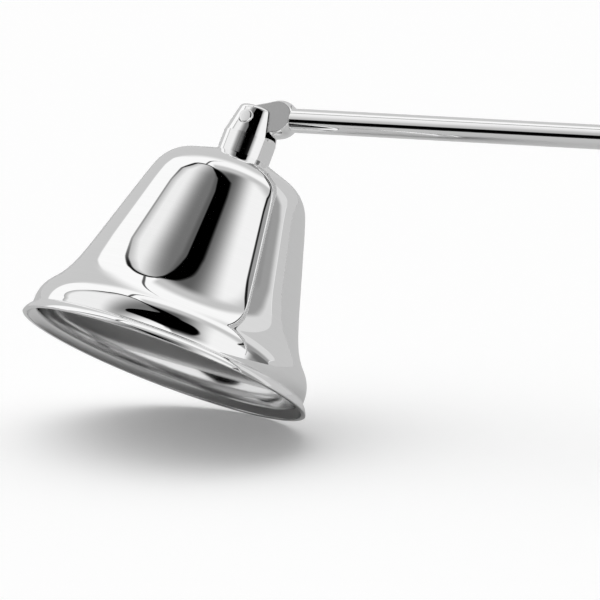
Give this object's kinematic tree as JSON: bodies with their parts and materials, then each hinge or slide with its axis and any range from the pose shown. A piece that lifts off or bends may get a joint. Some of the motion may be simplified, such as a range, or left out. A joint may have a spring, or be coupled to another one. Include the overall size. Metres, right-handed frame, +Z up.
{
  "type": "candle snuffer",
  "caption": "Polished metal candle snuffer: a bell with a turned-out lip swings on a cross pin in a slotted neck at the end of a thin round rod handle.",
  "frame": {"origin": "centre of the bell's mouth, in the plane of its rim", "axes": "+Z up the bell's axis towards the hinge, Y along the hinge pin, handle towards +X"},
  "size_m": [0.2651, 0.0398, 0.0836],
  "materials": {
    "bell_metal": "mirror polished",
    "hinge_metal": "mirror polished",
    "handle_metal": "mirror polished",
    "fixing_steel": "turned"
  },
  "bodies": {
    "handle": {"knuckle": "handle_metal", "handle_rod": "handle_metal", "end_knob": "handle_metal"},
    "snuffer_bell": {"bell": "bell_metal", "neck_fork": "hinge_metal", "neck_washer": "fixing_steel", "neck_screw": "fixing_steel", "hinge_pin": "hinge_metal"}
  },
  "joints": [
    {"name": "bell_swing", "type": "hinge", "parent": "handle", "child": "snuffer_bell", "pos_m": [0, 0, 0.03448], "axis": [0, 1, 0], "range_deg": [-3, 142]}
  ]
}
